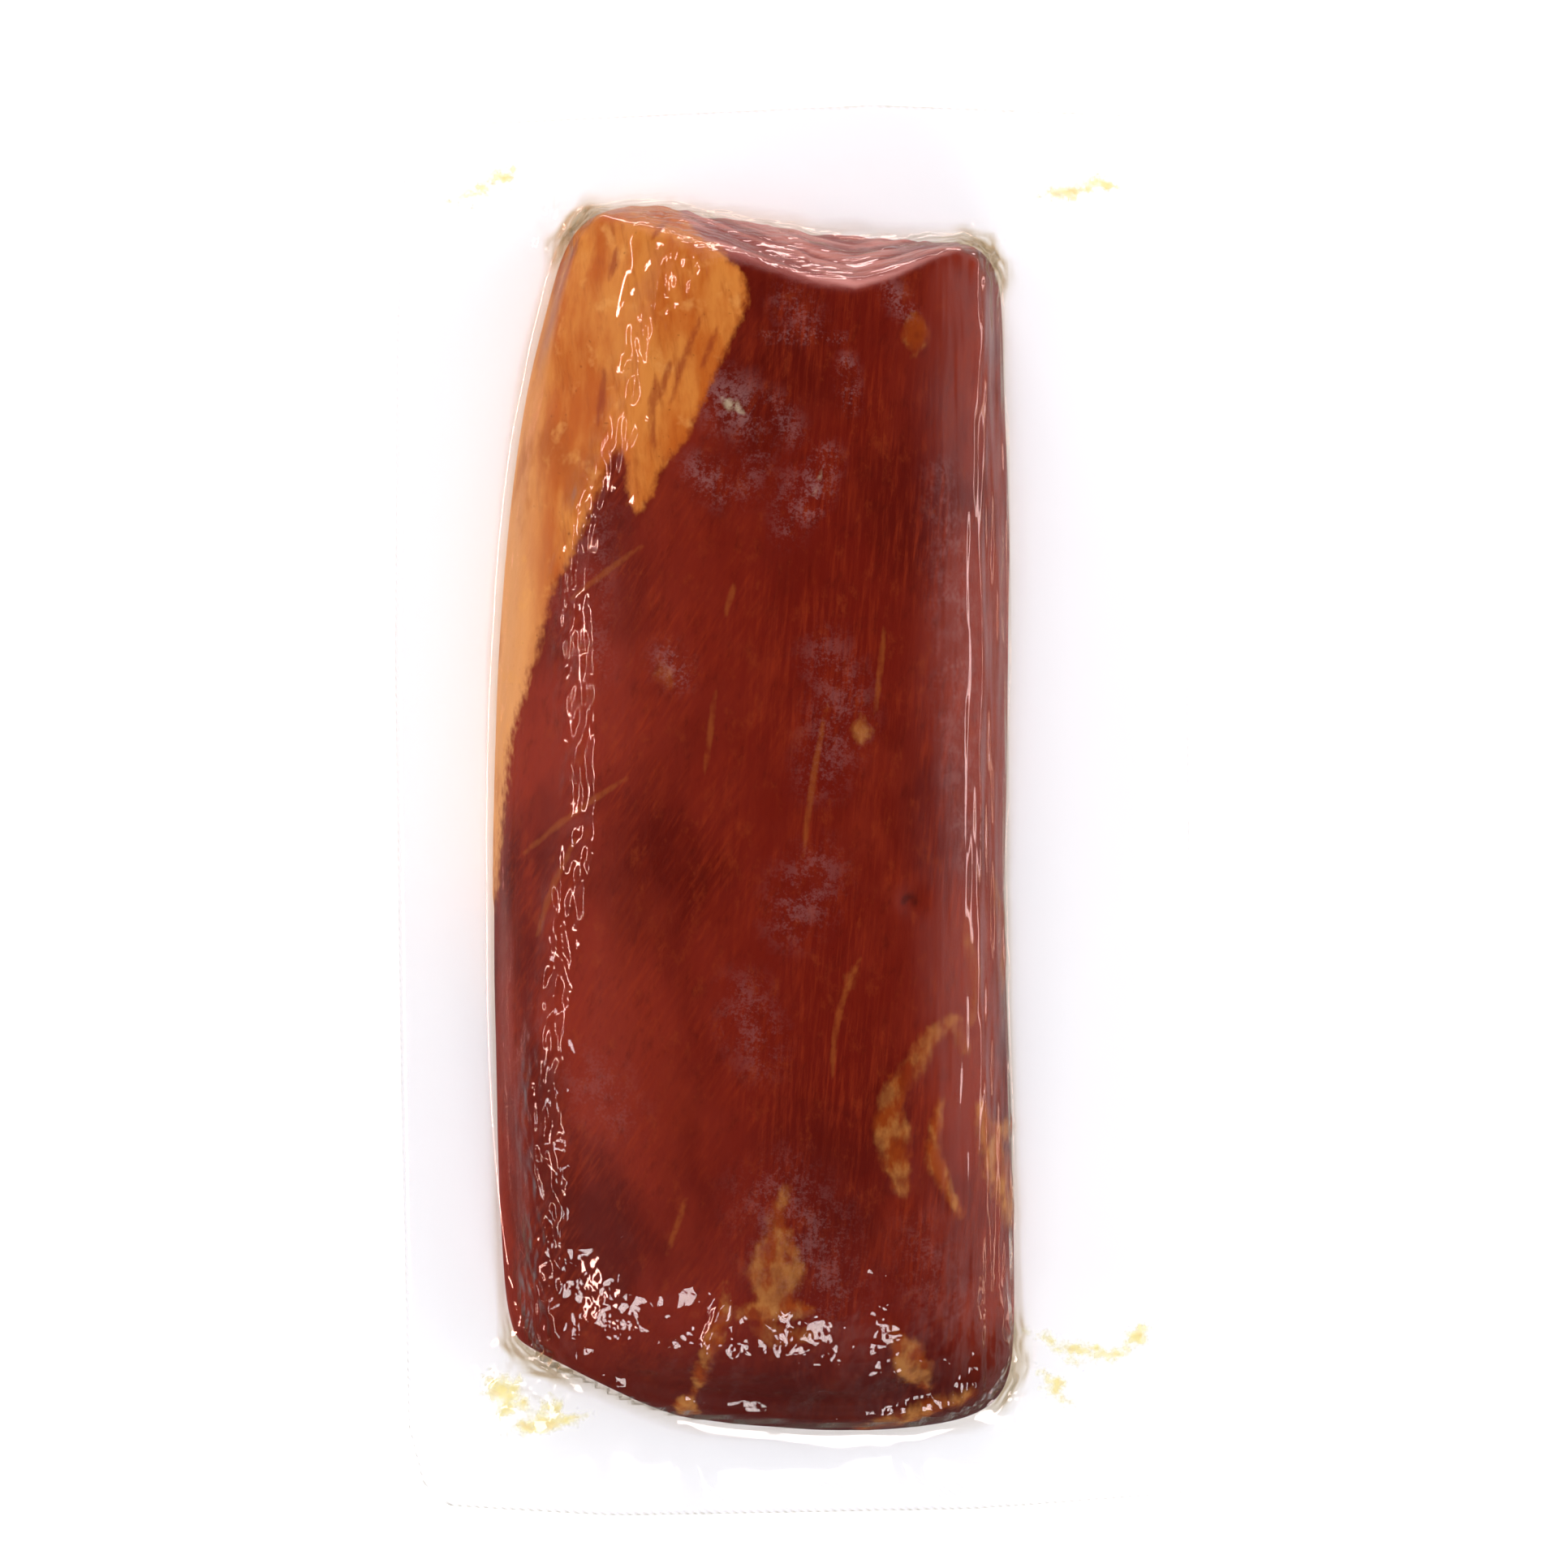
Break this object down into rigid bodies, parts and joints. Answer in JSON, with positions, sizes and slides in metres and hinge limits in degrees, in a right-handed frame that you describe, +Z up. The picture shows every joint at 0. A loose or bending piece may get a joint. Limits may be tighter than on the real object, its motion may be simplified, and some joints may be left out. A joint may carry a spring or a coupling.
{
  "type": "smoked ham",
  "caption": "Slab of smoked ham with a fat cap, vacuum-packed in a clear pouch with flat margins and small pockets of juice.",
  "frame": {"origin": "under the middle of the pouch, on the surface that it lies on", "axes": "+Y along the slab towards the cut end with the hollow, +X across it away from the fat cap, +Z up"},
  "size_m": [0.1718, 0.298, 0.0504],
  "materials": {
    "smoked_meat": "satin",
    "clear_film": "gloss",
    "yellow_juice": "gloss"
  },
  "bodies": {
    "root": {"ham": "smoked_meat", "upper_film": "clear_film", "lower_film": "clear_film", "juice_near_left": "yellow_juice", "juice_near_right": "yellow_juice", "juice_far_left": "yellow_juice", "juice_far_right": "yellow_juice"}
  },
  "joints": []
}
